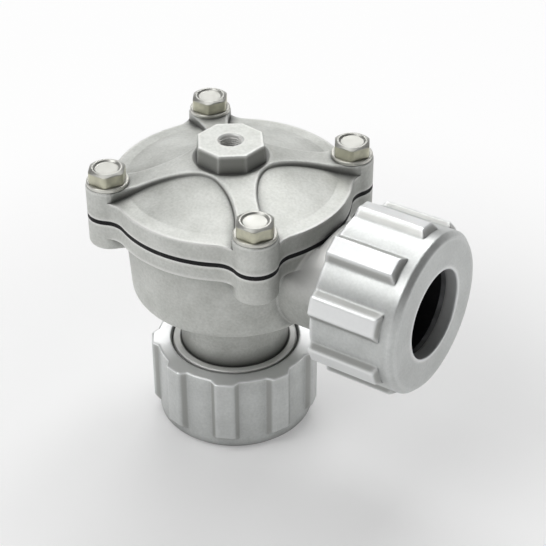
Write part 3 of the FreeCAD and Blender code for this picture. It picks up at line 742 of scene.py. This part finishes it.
class VALVE_OT_studio(bpy.types.Operator):
    """Set up the floor, surroundings, lamps and camera"""
    bl_idname = "valve.studio"
    bl_label = "Studio"

    def execute(self, context):
        studio = context.scene.valve_studio
        make_floor(studio)
        make_surroundings(studio)
        for name, (azimuth, elevation, size) in LAMPS.items():
            lamp(name + "_lamp", azimuth, elevation, getattr(studio, name), size)
        make_camera(studio)
        context.scene.view_settings.view_transform = "Standard"
        return {"FINISHED"}


def make_floor(studio):
    bpy.ops.object.select_all(action="DESELECT")
    bpy.ops.mesh.primitive_plane_add(size=12, location=(0, 0, 0))
    floor = named("floor")
    floor.data.materials.append(white_paper("floor_paper", studio))


def white_paper(name, studio):
    """Pale paper that takes the valve's shadow, and whitens away from it to the camera and in reflections."""
    wiring = Wiring(bpy.data.materials.new(name))
    wiring.set(Base_Color=(0.95, 0.95, 0.95, 1), Roughness=0.9)
    foot = (MIDDLE[0], MIDDLE[1], 0)
    away = wiring.add("VectorMath", {0: wiring.point(), 1: foot}, operation="DISTANCE").outputs["Value"]
    white = wiring.spread(away, studio.near, studio.far, studio.paper, studio.far_paper, "SMOOTHSTEP")
    path = wiring.add("LightPath").outputs
    seen = wiring.combine("MAXIMUM", path["Is Camera Ray"], path["Is Glossy Ray"])
    seen = wiring.combine("MAXIMUM", seen, path["Is Transmission Ray"])
    factor = wiring.combine("MULTIPLY", seen, white)
    glow = wiring.add("Emission", {"Color": (1, 1, 1, 1), "Strength": 1.0})
    surface = wiring.add("MixShader", {0: factor, 1: wiring.shader.outputs[0], 2: glow.outputs[0]})
    wiring.put(wiring.tree.nodes["Material Output"].inputs["Surface"], surface.outputs[0])
    return wiring.owner


def make_surroundings(studio):
    """A pale band round the horizon under a dim room, brighter on the camera's left than on its right."""
    wiring = Wiring(bpy.data.worlds.new("studio_surroundings"), "Background")
    where = wiring.add("TexCoord").outputs["Generated"]
    tone = wiring.spread(wiring.height(where), 0.1, 0.4, studio.horizon, studio.room, "SMOOTHSTEP")
    left = outward(studio.azimuth - math.pi / 2, 0)
    side = wiring.add("VectorMath", {0: where, 1: left}, operation="DOT_PRODUCT").outputs["Value"]
    wiring.set(Color=tone, Strength=wiring.spread(side, -1, 1, studio.far_side, 1))
    bpy.context.scene.world = wiring.owner


def outward(azimuth, elevation):
    """Direction from the valve, with the azimuth measured from the front towards the inlet's side."""
    return Vector((math.sin(azimuth) * math.cos(elevation), -math.cos(azimuth) * math.cos(elevation),
                   math.sin(elevation)))


def lamp(name, azimuth, elevation, watts, size):
    """A round soft lamp that faces the valve."""
    direction = outward(math.radians(azimuth), math.radians(elevation))
    light = bpy.data.lights.new(name, "AREA")
    light.shape = "DISK"
    light.size = size
    light.energy = watts
    holder = bpy.data.objects.new(name, light)
    holder.location = Vector(MIDDLE) + LAMP_DISTANCE * direction
    holder.rotation_euler = direction.to_track_quat("Z", "Y").to_euler()
    bpy.context.scene.collection.objects.link(holder)


def make_camera(studio):
    back = outward(studio.azimuth, studio.elevation)
    camera = bpy.data.objects.new("camera", bpy.data.cameras.new("camera"))
    camera.data.lens = studio.lens
    camera.data.sensor_width = 36
    camera.location = Vector(studio.target) + back * studio.distance
    turn = back.to_track_quat("Z", "Y") @ Quaternion(UP, studio.roll)
    camera.rotation_euler = turn.to_euler()
    bpy.context.scene.collection.objects.link(camera)
    bpy.context.scene.camera = camera


class VALVE_PT_panel(bpy.types.Panel):
    """Lists the steps that dress the valve"""
    bl_label = "Pulse Valve"
    bl_space_type = "VIEW_3D"
    bl_region_type = "UI"
    bl_category = "Pulse Valve"

    def draw(self, context):
        for step in STEPS:
            self.layout.operator(step.bl_idname)


GROUPS = {
    "valve_castings": CastingLooks,
    "valve_nuts": NutLooks,
    "valve_plated": PlatedLooks,
    "valve_spigots": SpigotSizes,
    "valve_rubber": RubberLooks,
    "valve_spring": SpringSizes,
    "valve_studio": StudioLooks,
}
STEPS = [VALVE_OT_castings, VALVE_OT_nuts, VALVE_OT_fasteners, VALVE_OT_rims, VALVE_OT_threads,
         VALVE_OT_rubber, VALVE_OT_spring, VALVE_OT_studio]


def register():
    for name, group in GROUPS.items():
        bpy.utils.register_class(group)
        setattr(bpy.types.Scene, name, bpy.props.PointerProperty(type=group))
    for step in STEPS + [VALVE_PT_panel]:
        bpy.utils.register_class(step)


def unregister():
    for step in STEPS + [VALVE_PT_panel]:
        bpy.utils.unregister_class(step)
    for name, group in GROUPS.items():
        delattr(bpy.types.Scene, name)
        bpy.utils.unregister_class(group)


def main():
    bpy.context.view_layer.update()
    register()
    for step in STEPS:
        group, action = step.bl_idname.split(".")
        getattr(getattr(bpy.ops, group), action)()


if __name__ == "__main__":
    main()
